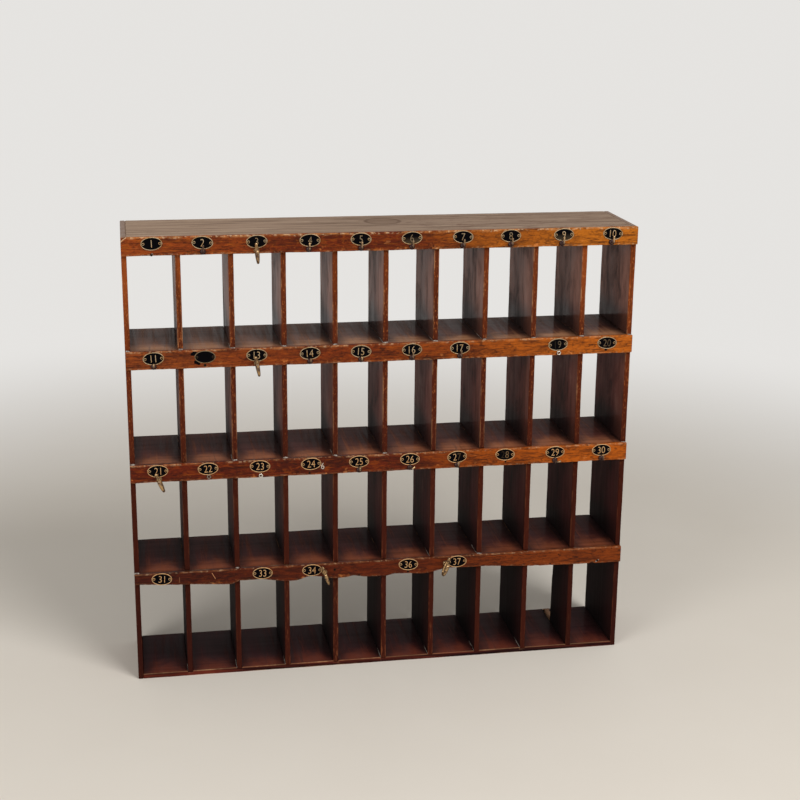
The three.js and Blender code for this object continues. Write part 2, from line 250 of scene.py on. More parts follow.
X, Y, Z = 0, 1, 2
left_low, left_high = corners("left_side")
right_low, right_high = corners("right_side")
HOUSING = 0.003
EASE = 0.0006
EDGE_GAP = 0.009
CORNER_CUT = 0.0012
FACE_BAND = 0.0019
BREAK_SLOPE = 0.05
front_y, back_y = left_low[Y], left_high[Y]
top_z = left_high[Z]
shelf_names = ["shelf_low", "shelf_middle", "shelf_high"]
shelf_spans = [(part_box(name)[0][Z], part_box(name)[1][Z]) for name in shelf_names]
ROW_PITCH = shelf_spans[1][0] - shelf_spans[0][0]

RUBBED = (178, 134, 96)
SOOT = (20, 12, 12)


def front_edge(y):
    """1 on the front edge of a board and 0 on its faces."""
    return y.step(front_y + 0.0022, front_y + 0.0006)


def upright_wood(name, shift, broken=0.0):
    """Dark stained softwood with upright grain: streaks stretched along Z, darker lower down, partly as
    painted shade, with a band of painted shade above each shelf and painted light towards the front of the
    inner faces;
    the front edge a warm brown, also darker lower down, with bright flecks that are partly wear and partly
    painted highlight, and the outer faces an even brown. The old varnish mirrors what stands behind, most in
    the top row. Where the back has broken off by broken, the torn wood is pale."""
    material, place = new_material(name)
    x, y, z = place.axes()
    moved = place.shifted(shift, shift * 0.7, shift * 0.3)
    streak = moved.noise((34, 34, 1.8), 3.0, 5, 0.6, 0.5)
    fibre = moved.noise((160, 160, 5), 4.0, 3, 0.6)
    cloud = moved.noise((1, 1, 1), 11.0, 4, 0.6)
    smudge = moved.noise((1, 1, 0.45), 24.0, 5, 0.65, 0.5)
    height = z + (cloud - 0.5) * 0.12
    # Painted shade: the inner faces go from near black at the foot to a pale brown in the top row, partly for
    # the light that falls off lower down and partly because the top is faded.
    face = height.step(0.10, 0.36).mix((30, 11, 13), (70, 24, 24))
    face = face.stain(height, 0.33, 0.56, (118, 62, 53))
    face = face.stain(height, 0.56, 0.70, (150, 98, 78))
    face = face.stain(streak, 0.42, 0.68, (28, 15, 14), 0.28)
    face = face.stain(smudge, 0.44, 0.70, (36, 20, 18), 0.75)
    face = (smudge.step(0.46, 0.26) * height.step(0.22, 0.5) * 0.35).mix(face, (150, 106, 88))
    # Painted shade: a dark band from each shelf up to about 60 mm, the shade where the faces meet the shelf.
    rise = z + (ROW_PITCH - shelf_spans[0][1] - 0.0002)
    rise = rise.math("MODULO", ROW_PITCH) + (smudge - 0.5) * 0.03
    face = face.stain(rise, 0.062, 0.020, (20, 11, 12), 0.8)
    # Painted light: the faces are lighter and warmer towards the front, where light comes into the holes;
    # this tone is also darker lower down, as painted shade.
    near = y.step(front_y + 0.06, front_y + 0.010)
    lit_front_tone = height.step(0.20, 0.66).mix((50, 20, 16), (120, 74, 57))
    face = (near * 0.4).mix(face, lit_front_tone)
    stained = streak.step(0.35, 0.7).mix((96, 52, 38), (54, 28, 22))
    stained = stained.stain(smudge, 0.5, 0.75, (44, 23, 19), 0.5)
    beyond = x.math("ABSOLUTE")
    face = face.stain(beyond, -left_low[X] - 0.004, -left_low[X] - 0.001, stained)
    # The front edge is darker lower down too, partly as painted shade.
    edge = height.step(0.06, 0.34).mix((50, 18, 12), (60, 21, 11))
    edge = edge.stain(height, 0.34, 0.56, (90, 37, 16))
    edge = edge.stain(height, 0.56, 0.74, (134, 64, 25))
    edge = edge.stain(streak, 0.42, 0.66, (44, 17, 10), 0.6)
    inner = x.step(-0.42, -0.20) * x.step(0.40, 0.26)
    edge = (inner * 0.6).mix(edge, (66, 25, 14))
    # Bright flecks along the front edges: partly wear and partly a painted highlight, where the arrises catch
    # the light.
    fleck_and_glint = moved.noise((1, 1, 0.45), 420.0, 2, 0.6).step(0.57, 0.67)
    edge = (fleck_and_glint * height.step(0.25, 0.65) * 0.4).mix(edge, (190, 112, 58))
    handled = x.step(-0.26, -0.12) * x.step(0.16, 0.02) * height.step(0.24, 0.20)
    thumbed = moved.noise((1, 1, 0.16), 340.0, 4, 0.66).step(0.54, 0.68) * (0.04 + 0.22 * handled)
    edge = thumbed.mix(edge, (170, 100, 60))
    at_front = front_edge(y)
    skin = at_front.mix(face, edge)
    end_grain = streak.mix((150, 124, 106), (112, 88, 74))
    skin = skin.stain(z, top_z - 0.003, top_z - 0.001, end_grain)
    skin = skin.stain(fibre, 0.58, 0.72, SOOT, 0.26)
    wear = place.mark("wear")
    rubbed = wear * moved.noise((1, 1, 0.6), 34.0, 6, 0.68).step(0.47, 0.64)
    rubbed = rubbed * (0.22 + 0.33 * height.step(0.3, 0.6) + 0.4 * handled)
    skin = rubbed.mix(skin, height.step(0.2, 0.6).mix((136, 74, 45), RUBBED))
    if broken:
        torn = y + z * BREAK_SLOPE
        raw = torn.step(back_y - broken - 0.0020, back_y - broken - 0.0008)
        raw = raw * z.step(shelf_spans[0][0] - 0.001, shelf_spans[0][0] - 0.003)
        skin = (raw * (1.1 - 0.5 * streak)).mix(skin, (164, 126, 98))
    shine = 0.0135 + 0.038 * height.step(0.25, 0.50) + 0.10 * height.step(0.54, 0.64)
    shine = shine * (1 - at_front) * (1.5 - 1.0 * smudge.step(0.34, 0.66))
    looks = {"Base Color": skin, "Roughness": 0.55 + 0.35 * streak, "Specular IOR Level": 0.05,
             "Coat Weight": shine, "Coat Roughness": 0.12}
    return finished(material, looks, streak * 0.6 + fibre * 0.4)


def notched(first, last, inner, outer, spans, depth):
    """Outline of a long board from first to last, with a notch in its inner edge at each of the spans."""
    into = inner + depth * math.copysign(1, outer - inner)
    notches = [(along, across) for low, high in spans
               for along, across in ((low, inner), (low, into), (high, into), (high, inner))]
    return np.array([(first, outer), (first, inner), *notches, (last, inner), (last, outer)])


for side, inner, outer, seed in (("left_side", left_high[X], left_low[X], 1),
                                 ("right_side", right_low[X], right_high[X], 2)):
    section = notched(left_low[Z], top_z, inner, outer, shelf_spans, HOUSING)[:, ::-1]
    board = eased_board(section, front_y, back_y, (X, Z, Y), EASE, seed)
    wood = upright_wood(side + "_wood", seed * 0.61)
    put_piece(side + "_board", board, wood, [side])


# Bottom and top: boards of the same softwood fixed between the sides, grain along their length.
# Grooves across their inner faces take the ends of the dividers. The top has faded to a grey tan
# and carries the ring mark of a pot; the bottom is dark, its front edge red brown below a pale, rubbed arris.

bottom_low, bottom_high = corners("bottom_board")
top_low, top_high = corners("top_board")
divider_names = [f"divider_{i}" for i in range(1, 10)]
divider_spans = [(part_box(name)[0][X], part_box(name)[1][X]) for name in divider_names]
HOLE_PITCH = divider_spans[1][0] - divider_spans[0][0]
first_hole = (left_high[X] + divider_spans[0][0]) / 2


def lengthwise_wood(name, shift, back_left, back_right, front_shade, edge_shade, under_shade, upper, shine):
    """Stained softwood with its grain along X: streaks stretched along X and marks dragged from front to
    back; its upper face painted greyer to the left as a stand-in for the sheen of its varnish, rubbed browner
    and painted lighter to the front, and darkened beside the uprights as painted shade and painted
    reflection;
    dark below, with a band of its own colour along the front edge."""
    material, place = new_material(name)
    x, y, z = place.axes()
    moved = place.shifted(shift, shift * 0.6, shift * 0.4)
    streak = moved.noise((1.4, 26, 26), 3.0, 5, 0.6, 0.6)
    fibre = moved.noise((5, 150, 150), 4.0, 3, 0.6)
    cloud = moved.noise((1, 1, 1), 8.0, 4, 0.62)
    drag = moved.noise((46, 2.2, 46), 2.6, 5, 0.62, 0.5)
    smear = moved.noise((1, 1, 1), 24.0, 5, 0.66, 0.6)
    deep = y + (cloud - 0.5) * 0.05 + (smear - 0.5) * 0.09
    across = x + (cloud - 0.5) * 0.3
    # Painted sheen: the upper face is greyer to the left, standing in for the varnish's reflection of the
    # pale room.
    skin = across.step(-0.32, 0.12).mix(back_left, back_right)
    offset = x - first_hole
    beside = offset.math("PINGPONG", HOLE_PITCH / 2)
    # Rubbed browner and painted lighter towards the front of each hole, where light comes in.
    rubbed_and_lit_front = deep.step(front_y + 0.066, front_y) * (0.45 + 0.55 * beside.step(0.036, 0.012))
    skin = rubbed_and_lit_front.mix(skin, front_shade)
    skin = skin.stain(streak, 0.45, 0.7, under_shade, 0.35)
    skin = skin.stain(drag, 0.50, 0.74, front_shade, 0.5)
    skin = skin.stain(drag, 0.46, 0.28, under_shade, 0.45)
    # Painted shade and painted reflection: dark beside each upright, away from the front, where the upright
    # shades the face and is mirrored in its varnish.
    corner = beside.step(0.018, 0.040) * (0.45 + 0.55 * deep.step(front_y + 0.005, front_y + 0.06))
    skin = (corner * 0.85).mix(skin, under_shade)
    above = z.step(upper - 0.0030, upper - 0.0012)
    skin = above.mix(under_shade, skin)
    at_front = front_edge(y)
    skin = (at_front * 0.9).mix(skin, streak.step(0.35, 0.65).mix(edge_shade, under_shade))
    skin = skin.stain(fibre, 0.58, 0.74, SOOT, 0.4)
    wear = place.mark("wear")
    lowest = z.step(bottom_high[Z] + 0.003, bottom_high[Z] + 0.001)
    lowest = lowest * z.step(bottom_high[Z] - 0.0018, bottom_high[Z] - 0.0010)
    rubbed = wear * (moved.noise((1, 1, 1), 22.0, 6, 0.65).step(0.48, 0.68) * 0.5 + lowest * 0.27)
    skin = rubbed.mix(skin, RUBBED)
    shine = above * (1 - at_front) * shine * (1.25 - 0.8 * drag.step(0.35, 0.65))
    looks = {"Base Color": skin, "Roughness": 0.58 + 0.32 * streak, "Specular IOR Level": 0.05,
             "Coat Weight": shine, "Coat Roughness": 0.13}
    return finished(material, looks, streak * 0.4 + fibre * 0.3 + drag * 0.3)


def top_board_wood(name):
    """The top: the same softwood faded to a grey tan with its grain along X, palest at the left, with the
    ring mark of a pot near the middle, a few dark dashes beside it and spills towards the front."""
    material, place = new_material(name)
    x, y, z = place.axes()
    moved = place.shifted(2.1, 1.3, 0.8)
    streak = moved.noise((1.6, 30, 30), 3.0, 5, 0.62, 0.7)
    fibre = moved.noise((6, 160, 160), 4.0, 3, 0.6)
    cloud = moved.noise((1, 1.6, 1), 7.0, 5, 0.64)
    across = x + (cloud - 0.5) * 0.3
    skin = across.step(-0.40, 0.10).mix((160, 135, 114), (146, 123, 104))
    skin = skin.stain(streak, 0.46, 0.66, (104, 82, 66), 0.75)
    skin = skin.stain(streak, 0.42, 0.26, (186, 162, 140), 0.75)
    skin = skin.stain(cloud, 0.54, 0.68, (110, 86, 68), 0.6)
    from_ring = place.node("ShaderNodeVectorMath", {"operation": "DISTANCE"},
                           {0: place, 1: (0.0105, 0.024, top_high[Z])}, 1)
    band = from_ring.step(0.025, 0.029) * from_ring.step(0.036, 0.031)
    skin = (band * (0.35 + 0.6 * cloud)).mix(skin, (84, 60, 44))
    inside = from_ring.step(0.030, 0.026)
    skin = (inside * 0.45).mix(skin, (104, 80, 62))
    dashes = moved.noise((8, 60, 60), 3.0, 3, 0.6, 1.0).step(0.57, 0.64) * across.step(-0.02, 0.12)
    skin = (dashes * 0.7).mix(skin, (92, 58, 43))
    spill = moved.noise((1, 3, 1), 14.0, 3).step(0.60, 0.70)
    skin = (spill * 0.3).mix(skin, (110, 84, 66))
    above = z.step(top_high[Z] - 0.0030, top_high[Z] - 0.0012)
    skin = above.mix((70, 46, 38), skin)
    skin = skin.stain(fibre, 0.56, 0.70, (66, 50, 42), 0.5)
    wear = place.mark("wear")
    rubbed = wear * moved.noise((1, 1, 1), 22.0, 6, 0.65).step(0.48, 0.68)
    skin = (rubbed * 0.5).mix(skin, (196, 172, 146))
    looks = {"Base Color": skin, "Roughness": 0.62 + 0.3 * streak, "Specular IOR Level": 0.15}
    return finished(material, looks, streak * 0.6 + fibre * 0.4, 0.4)


# The bottom's colours are the darkest, partly as painted shade low under the shelves.
bottom_wood = lengthwise_wood("bottom_wood", 1.3, (52, 18, 21), (50, 18, 19), (98, 45, 31),
                              (112, 46, 32), (30, 12, 13), bottom_high[Z], 0.042)
top_wood = top_board_wood("top_wood")
for name, inner, outer, wood, slot, seed in (
        ("bottom_board", bottom_high[Z], bottom_low[Z], bottom_wood, "dark_wood", 3),
        ("top_board", top_low[Z], top_high[Z], top_wood, "faded_wood", 4)):
    section = notched(bottom_low[X], bottom_high[X], inner, outer, divider_spans, HOUSING)
    board = eased_board(section, front_y, back_y, (X, Z, Y), EASE, seed)
    put_piece(name + "_plank", board, wood, [name])


# Shelves: three boards housed in the sides, grain along their length, slotted from the back edge
# to half depth so that they cross the dividers in halved joints. Their upper faces are painted greyer to
# the left, standing in for the sheen of their varnish, and are rubbed browner and painted lighter at the
# front; each lower shelf is painted darker, for less light and less sheen lower down.

lap_y = (front_y + back_y) / 2
FIT = 0.00015
# Colours per shelf: back left, back right, front, edge and under, then the coat. Each lower shelf is painted
# darker, for less light and less sheen lower down.
SHELF_LOOKS = {
    "shelf_high": ((128, 90, 73), (80, 44, 35), (164, 116, 82), (100, 48, 24), (40, 21, 18), 0.15),
    "shelf_middle": ((88, 44, 38), (84, 44, 37), (152, 93, 62), (80, 34, 18), (32, 15, 14), 0.075),
    "shelf_low": ((70, 31, 29), (66, 29, 27), (124, 66, 42), (66, 27, 16), (26, 11, 11), 0.04),
}
slot_spans = [(left - FIT, right + FIT) for left, right in divider_spans]
for seed, (name, (*shades, shine)) in enumerate(SHELF_LOOKS.items(), 5):
    low, high = corners(name)
    wood = lengthwise_wood(name + "_wood", seed * 0.83, *shades, high[Z], shine)
    plan = notched(low[X], high[X], high[Y], low[Y], slot_spans, high[Y] - lap_y)
    board = eased_board(np.roll(plan, -1, 0), low[Z], high[Z], (X, Y, Z), EASE, seed)
    slot = "faded_wood" if name == "shelf_high" else "dark_wood"
    put_piece(name + "_plank", board, wood, [name])


# Dividers: nine full-height boards with upright grain, slotted from the front edge to half depth
# for each shelf. Their feet and heads stand in the grooves of the bottom and the top.
# The front edges are rounded by hands; the ninth has lost its back below the lowest shelf.

DIVIDER_EASE = 0.0009
BREAK = 0.054
BROKEN_ONE = 9
FOOT_RISE, SHELF_GAP, RAGGED = 0.006, 0.001, 0.0012
foot_z, under_z = bottom_high[Z], shelf_spans[0][0]
SPLINTERS = [(0, 0.0008), (0.014, 0.0010), (0.018, 0.0095), (0.021, 0.0045), (0.029, 0.0058), (0.037, 0.0030),
             (0.045, 0.0045), (0.051, 0.0030)]


def broken_back(rear, broken):
    """Where the back of a divider has broken off under the low shelf: a splintered foot, and above it a
    ragged edge that slants up."""
    ragged = np.linspace(foot_z + FOOT_RISE, under_z - SHELF_GAP, 24)
    inward = broken + ragged * BREAK_SLOPE + RAGGED * waver(ragged * 2, 4.0)
    splinters = [(rear - deep, foot_z + rise) for deep, rise in SPLINTERS]
    return [*splinters, *zip(rear - inward, ragged), (rear, under_z - SHELF_GAP)]


for number, name in enumerate(divider_names, 1):
    low, high = corners(name)
    broken = BREAK if number == BROKEN_ONE else 0.0
    upright = notched(low[Z], high[Z], low[Y], high[Y], shelf_spans, lap_y - low[Y])[:, ::-1]
    outline = np.roll(upright[::-1], 2, 0)
    if broken:
        outline = np.concatenate([outline[:2], broken_back(high[Y], broken), outline[2:]])
    board = eased_board(outline, low[X], high[X], (Y, Z, X), DIVIDER_EASE, 10 + number)
    wood = upright_wood(name + "_wood", number * 1.37, broken)
    put_piece(name + "_board", board, wood, [name])


# Rails: four strips of a better, figured wood, planted on the front edges with nails and glue.
# They are varnished orange brown, redder to the left and darker lower down, partly as painted shade,
# and their arrises are rubbed pale and chipped, with a painted highlight along them. The lowest has
# split along its lower edge and is worn hollow there.

RAIL_STATIONS = 601
ARC = np.linspace(0, np.pi / 2, 6)
ARRIS_ABOVE, ARRIS_BELOW, ARRIS_BEHIND = 0.0014, 0.0009, 0.0004
WORN_CORNER, CORNER_RUN = 0.0062, 0.0090
END_PULL = 0.97
rail_boxes = [corners(f"rail_{row}") for row in range(1, 5)]
rail_front = rail_boxes[0][0][Y]
rail_back = rail_boxes[0][1][Y]


def chip(along, centre, width, depth):
    """A broken place on an edge: a smooth dip of the given depth at a distance along the rail."""
    return depth * np.exp(-((along - centre) / width) ** 4)


def rail_surface(low, high, lower_edge, worn_corner, chips, wear, seed):
    """A strip swept along X. Its section is a rectangle whose four corners are arcs; the radius of the two
    front arcs wavers along the rail and grows where it is chipped. The lower edge follows lower_edge, and the
    upper left corner is worn off along a slant of the given height."""
    along = np.linspace(low[X], high[X], RAIL_STATIONS)
    foot = lower_edge(along)
    slant = np.clip(1 - (along - low[X]) / CORNER_RUN, 0, 1)
    head = high[Z] - worn_corner * slant
    above = ARRIS_ABOVE * wear * np.clip(1 + 0.9 * waver(along, seed), 0.4, 2.0)
    below = ARRIS_BELOW * np.clip(1 + 0.9 * waver(along, seed + 0.5), 0.4, 2.2)
    for edge, centre, width, depth in chips:
        if edge == "upper":
            above = above + chip(along, centre, width, depth)
        else:
            below = below + chip(along, centre, width, depth)
    rows, rub = [], []

    def line(y, z, worn=0):
        rows.append(np.stack(np.broadcast_arrays(along, y, z), 1))
        rub.append(np.broadcast_to(worn, along.shape))

    def arc(y, z, out_y, out_z, radius, angles, worn=0):
        for angle in angles:
            line(y - out_y * radius * (1 - np.sin(angle)), z - out_z * radius * (1 - np.cos(angle)), worn)

    arc(rail_front, head, -1, 1, above, ARC, 1 + (slant > 0) * (worn_corner > 0))
    upper, under = head - above, foot + below
    for share in (0.1, 0.35, 0.65, 0.9):
        line(rail_front, upper + (under - upper) * share)
    arc(rail_front, foot, -1, -1, below, ARC[::-1], 0.5)
    line((rail_front + rail_back) / 2, foot)
    arc(rail_back, foot, 1, -1, ARRIS_BEHIND, ARC[::2])
    arc(rail_back, head, 1, 1, ARRIS_BEHIND, ARC[::-2])
    line((rail_front + rail_back) / 2, head)
    grid = np.array(rows)
    count, stations = grid.shape[:2]
    middle = grid.mean(0)
    for end in (0, -1):
        grid[:, end, 1:] = middle[end, 1:] + (grid[:, end, 1:] - middle[end, 1:]) * END_PULL
    index = np.arange(count * stations).reshape(count, stations)
    lower = np.roll(index, -1, 0)
    quads = np.stack([lower[:, :-1], lower[:, 1:], index[:, 1:], index[:, :-1]], -1).reshape(-1, 4)
    faces = quads.tolist() + [index[::-1, 0].tolist(), index[:, -1].tolist()]
    return grid.reshape(-1, 3), faces, {"wear": np.concatenate(rub) * wear}


def rail_wood(name, shift, foot, left_shade, mid_shade, right_shade, vein_shade, scratches):
    """Varnished figured wood, grain along X: dark veins along the contours of a stretched cloud and smoky
    patches over a colour that dips in the middle and glows to the right, pores as fine dark dashes, pale
    along the arrises, partly rubbed and partly painted highlight, orange where the lower edge is scuffed and
    pale along each scratch."""
    material, place = new_material(name)
    x, y, z = place.axes()
    moved = place.shifted(shift, shift * 0.4, shift * 0.7)
    figure = moved.noise((2.8, 20, 20), 3.0, 5, 0.6, 1.6)
    lines = (figure * 9.0).math("PINGPONG", 1.0)
    smoke = moved.noise((4, 15, 15), 3.4, 6, 0.68, 0.9)
    stripe = moved.noise((9, 190, 190), 2.2, 4, 0.62, 1.2)
    mottle = moved.noise((20, 46, 46), 2.6, 5, 0.66, 1.4)
    pores = moved.noise((80, 460, 460), 2.0, 2, 0.6)
    cloud = moved.noise((1, 1, 1), 8.0, 4, 0.6)
    spots = moved.noise((0.5, 1, 1), 120.0, 3, 0.6)
    across = x + (cloud - 0.5) * 0.3
    skin = across.step(-0.40, -0.06).mix(left_shade, mid_shade)
    skin = skin.stain(across, -0.02, 0.42, right_shade)
    skin = skin.stain(figure, 0.42, 0.26, right_shade, 0.45)
    skin = skin.stain(smoke, 0.47, 0.68, vein_shade, 0.6)
    skin = skin.stain(lines, 0.66, 0.94, vein_shade, 0.6)
    skin = skin.stain(stripe, 0.50, 0.62, vein_shade, 0.42)
    skin = skin.stain(stripe, 0.46, 0.34, right_shade, 0.32)
    skin = skin.stain(mottle, 0.48, 0.66, vein_shade, 0.4)
    skin = skin.stain(mottle, 0.48, 0.34, right_shade, 0.18)
    skin = skin.stain(pores, 0.56, 0.68, (34, 12, 6), 0.5)
    skin = skin.stain(spots, 0.62, 0.70, (30, 12, 7), 0.6)
    scratch = moved.noise((9, 60, 60), 2.0, 2, 0.5, 2.0).step(0.735, 0.76)
    skin = (scratch * 0.25).mix(skin, (190, 124, 72))
    low_part = z.step(foot + 0.014, foot + 0.003)
    scuff = low_part * moved.noise((0.7, 1, 1), 75.0, 5, 0.66).step(0.60, 0.70)
    skin = (scuff * 0.65).mix(skin, (204, 124, 64))
    for middle_x, middle_z, reach, lean, depth in scratches:
        over = x - middle_x
        rise = z - middle_z
        run = over * math.cos(lean) + rise * math.sin(lean)
        aside = rise * math.cos(lean) - over * math.sin(lean)
        line = aside.math("ABSOLUTE").step(0.0007, 0.0003)
        line = line * run.math("ABSOLUTE").step(reach, reach - 0.002)
        skin = (line * depth).mix(skin, (204, 142, 96))
    wear = place.mark("wear")
    # The pale arrises are partly wear and partly a painted highlight, where the rounded edges catch the
    # light.
    rubbed = wear * moved.noise((1, 1, 1), 40.0, 6, 0.72).step(0.42, 0.60)
    skin = (rubbed * 0.6).mix(skin, cloud.mix((206, 152, 102), right_shade))
    pale_flake_and_glint = wear * moved.noise((1, 1, 1), 170.0, 3, 0.6).step(0.52, 0.62)
    skin = (pale_flake_and_glint * 0.6).mix(skin, (206, 172, 134))
    skin = wear.step(1.3, 1.9).mix(skin, cloud.mix((214, 178, 138), (150, 108, 76)))
    looks = {"Base Color": skin, "Roughness": 0.45 + 0.25 * cloud + 0.25 * scuff, "Specular IOR Level": 0.1}
    return finished(material, looks, figure * 0.4 + pores * 0.6, 0.25, 0.0004)


EDGE_WAVER = 0.00035
WORN_WAVER = 0.0003


def straight_edge(low):
    return lambda along: low[Z] + EDGE_WAVER * waver(along, 3.1)


WORN_EDGE = [(-0.450, 0.1870), (-0.278, 0.1771), (-0.264, 0.1833), (-0.226, 0.1833), (-0.181, 0.1765),
             (-0.160, 0.1771), (-0.137, 0.1838), (-0.116, 0.1815), (-0.096, 0.1764), (-0.072, 0.1766),
             (-0.057, 0.1800), (-0.035, 0.1760), (0.002, 0.1746), (0.018, 0.1784), (0.042, 0.1778),
             (0.070, 0.1751), (0.088, 0.1772), (0.115, 0.1834), (0.198, 0.1820), (0.270, 0.1774),
             (0.350, 0.1752), (0.450, 0.1746)]


def worn_edge(along):
    """Lower edge of the lowest rail: split off along a slant at the left and hollowed under most of the
    holes further on. It goes through the places of WORN_EDGE with its corners smoothed."""
    places, heights = np.array(WORN_EDGE).T
    near = [np.interp(along + shift, places, heights) for shift in (-0.003, 0, 0.003)]
    return np.mean(near, 0) + WORN_WAVER * waver(along * 1.7, 5.2)


# Colours of each rail from the top down: left, middle, right and veins. Each lower rail is darker, partly as
# painted shade for the light falling off lower down.
RAIL_LOOKS = [
    ((140, 61, 18), (102, 35, 9), (178, 100, 22), (50, 17, 7)),
    ((124, 57, 22), (118, 47, 13), (178, 92, 21), (48, 17, 8)),
    ((96, 30, 10), (90, 29, 10), (174, 85, 16), (38, 13, 7)),
    ((68, 22, 11), (87, 31, 10), (125, 55, 14), (31, 11, 7)),
]
RAIL_CHIPS = [
    [("upper", 0.17, 0.008, 0.0008), ("lower", 0.31, 0.006, 0.0012)],
    [("upper", -0.19, 0.005, 0.0010), ("lower", 0.12, 0.005, 0.0015)],
    [("upper", 0.24, 0.006, 0.0012), ("lower", -0.33, 0.004, 0.0014)],
    [("lower", 0.287, 0.005, 0.0022), ("lower", 0.395, 0.004, 0.0050)],
]
RAIL_WEAR = (1, 0.65, 0.6, 0.5)
SCRATCHES = [(-0.3103, 0.1956, 0.0075, -1.09, 0.75), (-0.3711, 0.1916, 0.0064, 1.57, 0.25)]
for row, (low, high) in enumerate(rail_boxes, 1):
    edge = worn_edge if row == 4 else straight_edge(low)
    corner = WORN_CORNER if row == 1 else 0
    strip = rail_surface(low, high, edge, corner, RAIL_CHIPS[row - 1], RAIL_WEAR[row - 1], row * 1.9)
    scratches = SCRATCHES if row == 4 else ()
    wood = rail_wood(f"rail_{row}_varnish", row * 2.3, low[Z], *RAIL_LOOKS[row - 1], scratches)
    put_piece(f"rail_{row}_strip", strip, wood, [f"rail_{row}"], smooth=True)


# Number plates: small oval plates stamped from thin brass, one for most holes, each held by two
# round-headed pins. The rim, the bosses and the raised numerals are rubbed to gold and the sunk
# field is black. One plate has lost its numeral and a few are scratched almost blank.

HALF_WIDE, HALF_HIGH = 0.0181, 0.0113
PLATE_RIM = 0.0013
PLATE_FIELD = 0.0006
BOSS_ASIDE, BOSS_RADIUS, BOSS_RISE = 0.0140, 0.0030, 0.0007
PIN_RADIUS, PIN_RISE = 0.0015, 0.0009
FIGURE_SIZE, FIGURE_THIN, FIGURE_NARROW = 0.0189, 0.0002, 0.81
FIGURE_THICK, FIGURE_RISE = 0.00022, 0.0002
MERGED = 1e-7
ROUND = 48
rail_tops = [high[Z] for low, high in rail_boxes]


def circle(sides):
    return np.linspace(0, 2 * np.pi, sides, endpoint=False)


def plate_surface():
    """An oval dish seen from the front: rings inset from the oval's edge by even steps carry the rim's round
    edge, its crown and the step down to the sunk field, and shrinking ovals close the field to its middle."""
    inset = np.array([0, 0, 0.0002, 0.0005, 0.0009, 0.0012, 0.0015, 0.0016])
    rise = np.array([-0.9, 0, 0.5, 1, 0.95, 0.6, 0.1, 0]) * (PLATE_RIM - PLATE_FIELD) + PLATE_FIELD
    gilt = np.array([0.5, 0.6, 1, 1, 1, 0.7, 0, 0, 0, 0, 0])
    share = np.array([0.75, 0.4, 0.02])
    wide = np.append(HALF_WIDE - inset, (HALF_WIDE - inset[-1]) * share)[:, None]
    tall = np.append(HALF_HIGH - inset, (HALF_HIGH - inset[-1]) * share)[:, None]
    out = np.append(rise, np.full_like(share, PLATE_FIELD))[:, None]
    turn = circle(ROUND)
    return *closed_grid(wide * np.cos(turn), tall * np.sin(turn), out), np.repeat(gilt, ROUND)


def dome(aside, radius, base, rise, sides, rings):
    """A round head: rings shrink as the cosine and rise as the sine of a quarter turn."""
    lift = np.linspace(0, np.pi / 2, rings + 1)[:-1, None]
    turn = circle(sides)
    reach = radius * np.cos(lift)
    return closed_grid(aside + reach * np.cos(turn), reach * np.sin(turn), base + rise * np.sin(lift))


def numeral(words, size, thin):
    """Raised figures: the outline of plain numerals drawn in by thin, thickened and set in the plate's
    middle, with every face on points of its own so that its edges stay sharp."""
    curve = bpy.data.curves.new("numeral", "FONT")
    curve.body = words
    curve.size = size
    curve.extrude = FIGURE_THICK
    curve.offset = -thin
    curve.resolution_u = 3
    curve.align_x = "CENTER"
    curve.align_y = "CENTER"
    holder = bpy.data.objects.new("numeral", curve)
    mesh = bpy.data.meshes.new_from_object(holder)
    shape = bmesh.new()
    shape.from_mesh(mesh)
    bmesh.ops.remove_doubles(shape, verts=shape.verts, dist=MERGED)
    bmesh.ops.recalc_face_normals(shape, faces=shape.faces)
    sharp = [[vert.co[:] for vert in face.verts] for face in shape.faces]
    shape.free()
    bpy.data.objects.remove(holder)
    bpy.data.curves.remove(curve)
    bpy.data.meshes.remove(mesh)
    points = np.concatenate(sharp)
    ends = np.cumsum([len(face) for face in sharp])
    faces = [list(range(end - len(face), end)) for face, end in zip(sharp, ends)]
    middle = (points.min(0) + points.max(0)) / 2
    return (points - middle) * (FIGURE_NARROW, 1, 1) + (0, 0, PLATE_FIELD + FIGURE_RISE), faces


def at_hole(number, aside, drop):
    """X and Z of a place on a rail, by millimetres aside of its hole's middle and below the upper edge."""
    row, column = divmod(number - 1, 10)
    return first_hole + column * HOLE_PITCH + aside / 1000, rail_tops[row] - drop / 1000


def facing(points, x, z, tilt=0.0):
    """Points drawn flat with their rise last, tilted and stood up on the front of the rails at x and z."""
    u, v, w = points.T
    level, steep = math.cos(tilt), math.sin(tilt)
    return np.stack([x + u * level - v * steep, rail_front - w, z + u * steep + v * level], 1)


def joined(parts):
    """Several point and face lists as one, each with one gilt value or one per point."""
    points, faces, gilt, base = [], [], [], 0
    for where, these, value in parts:
        points.append(where)
        faces += [[corner + base for corner in face] for face in these]
        gilt.append(np.broadcast_to(value, len(where)))
        base += len(where)
    return np.concatenate(points), faces, {"gilt": np.concatenate(gilt)}


def plate_metal(name, pale, deep):
    """Black sunk field under rubbed brass: brass in clouds where the gilt mark is set."""
    material, place = new_material(name)
    gilt = place.mark("gilt")
    cloud = place.noise((1, 1, 1), 260.0, 3)
    fine = place.noise((1, 1, 1), 900.0, 2)
    bright = gilt * (0.65 + 0.35 * cloud.step(0.3, 0.55))
    gold = cloud.step(0.35, 0.7).mix(pale, deep)
    return finished(material, {"Base Color": bright.mix((6, 5, 7), gold), "Metallic": bright * 0.75,
                               "Roughness": 0.4 + 0.25 * fine, "Specular IOR Level": 0.02})


